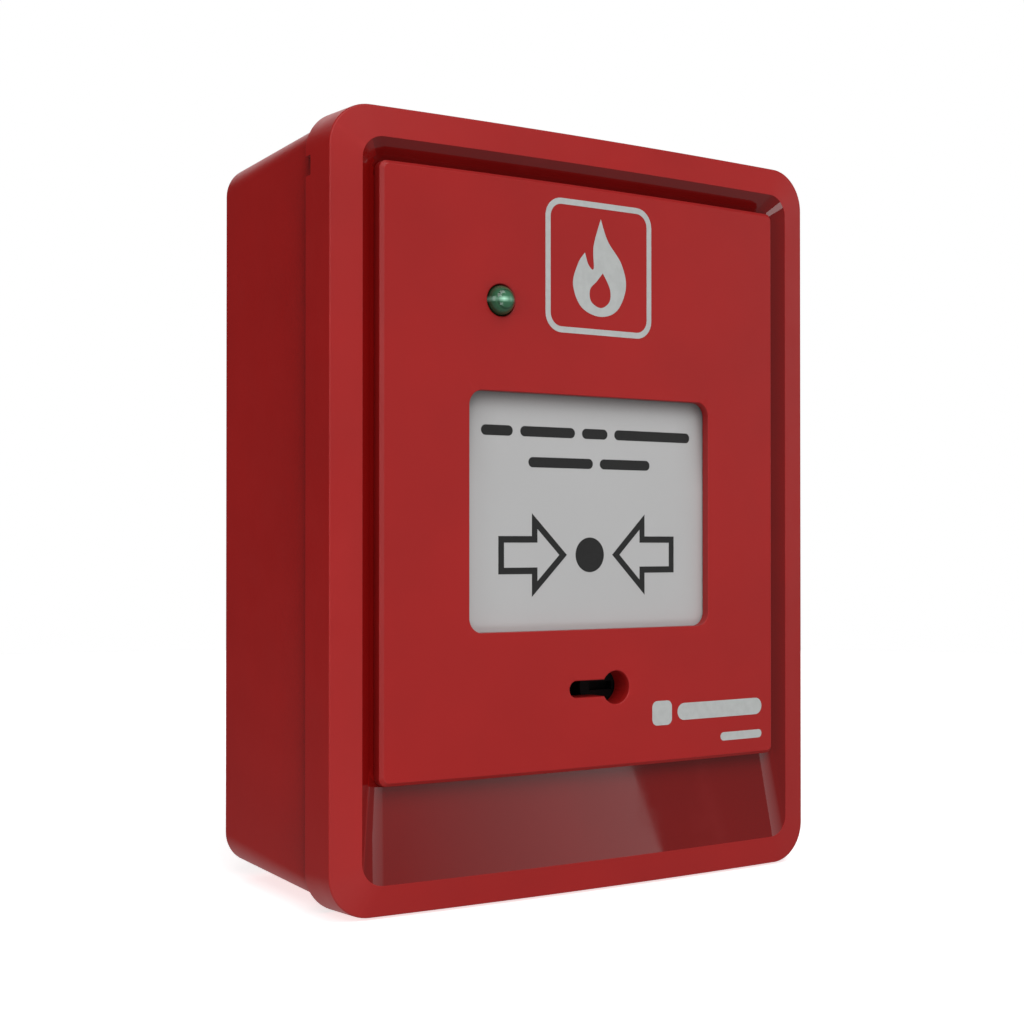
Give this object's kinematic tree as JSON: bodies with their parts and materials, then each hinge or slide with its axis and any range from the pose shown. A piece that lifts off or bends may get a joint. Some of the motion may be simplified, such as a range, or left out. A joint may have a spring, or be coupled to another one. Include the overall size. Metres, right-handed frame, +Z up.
{
  "type": "manual fire alarm call point",
  "caption": "Red surface-mounted manual call point with a pressable white plate in a framed window, a green status lamp, a reset keyhole and a back box.",
  "frame": {"origin": "centre of the flat back face of the box, which lies against the wall", "axes": "+Z up, +Y into the wall, so the front faces -Y; +X is to the right when facing the front"},
  "size_m": [0.092, 0.0453, 0.1208],
  "materials": {
    "red_shell": "satin red moulded plastic with a very fine texture",
    "white_plate": "satin off-white moulded plastic",
    "lamp_green": "clear green lamp body",
    "dark_plastic": "dark moulded plastic",
    "grey_plastic": "grey moulded plastic",
    "red_plastic": "red moulded plastic",
    "rubber": "matt black rubber",
    "spring_steel": "drawn spring steel",
    "screw_steel": "zinc plated steel",
    "brass": "plain brass",
    "board_green": "green solder mask",
    "terminal_green": "green moulded plastic",
    "chip_black": "moulded epoxy",
    "can": "printed aluminium can",
    "varistor_blue": "blue epoxy coated ceramic"
  },
  "bodies": {
    "housing": {"back_box": "red_shell", "cable_grommet": "rubber", "box_gasket": "rubber", "front_frame": "red_shell", "face_panel": "red_shell", "plate_spring_left": "spring_steel", "plate_spring_right": "spring_steel", "chassis": "grey_plastic", "latch_spring": "spring_steel", "switch_body": "dark_plastic", "switch_pin_1": "brass", "switch_pin_2": "brass", "switch_pin_3": "brass", "lamp_lens": "lamp_green", "lamp_lead_left": "spring_steel", "lamp_lead_right": "spring_steel", "circuit_board": "board_green", "terminal_block": "terminal_green", "terminal_screw_1": "screw_steel", "terminal_clamp_1": "brass", "terminal_screw_2": "screw_steel", "terminal_clamp_2": "brass", "terminal_screw_3": "screw_steel", "terminal_clamp_3": "brass", "terminal_screw_4": "screw_steel", "terminal_clamp_4": "brass", "address_switch": "red_plastic", "address_slider_1": "white_plate", "address_slider_2": "white_plate", "address_slider_3": "white_plate", "address_slider_4": "white_plate", "microcontroller": "chip_black", "bus_chip": "chip_black", "capacitor_large": "can", "capacitor_small": "can", "varistor": "varistor_blue", "choke": "chip_black", "resistor_1": "chip_black", "resistor_2": "chip_black", "diode": "chip_black", "panel_screw_1": "screw_steel", "panel_screw_2": "screw_steel", "panel_screw_3": "screw_steel", "panel_screw_4": "screw_steel", "board_screw_1": "screw_steel", "board_screw_2": "screw_steel", "board_screw_3": "screw_steel"},
    "plate": {"press_plate": "white_plate"},
    "switch_arm": {"switch_lever": "spring_steel"},
    "switch_button": {"switch_plunger": "red_plastic"},
    "rotor": {"reset_rotor": "dark_plastic"},
    "latch": {"latch_slider": "dark_plastic"}
  },
  "joints": [
    {"name": "plate_press", "type": "slide", "parent": "housing", "child": "plate", "axis": [0, 1, 0], "range_m": [0, 0.0025], "stiffness_N_per_m": 1500, "deforming": ["plate_spring_left", "plate_spring_right"]},
    {"name": "lever_swing", "type": "hinge", "parent": "housing", "child": "switch_arm", "pos_m": [0.006, -0.0335, 0.008], "axis": [0, 0, 1], "range_deg": [0, 16]},
    {"name": "plunger_slide", "type": "slide", "parent": "housing", "child": "switch_button", "axis": [0, 1, 0], "range_m": [0, 0.0011]},
    {"name": "reset_turn", "type": "hinge", "parent": "housing", "child": "rotor", "pos_m": [0.00397, -0.0382, -0.02795], "axis": [0, 1, 0], "range_deg": [0, 90]},
    {"name": "latch_slide", "type": "slide", "parent": "housing", "child": "latch", "axis": [0, 0, -1], "range_m": [0, 0.00424], "stiffness_N_per_m": 120, "deforming": ["latch_spring"]}
  ],
  "couplings": [
    {"joint": "lever_swing", "follows": "plate_press", "rad_per_m": 108.7},
    {"joint": "plunger_slide", "follows": "plate_press", "ratio": 0.4},
    {"joint": "reset_turn", "follows": "latch_slide", "rad_per_m": 370.25}
  ]
}
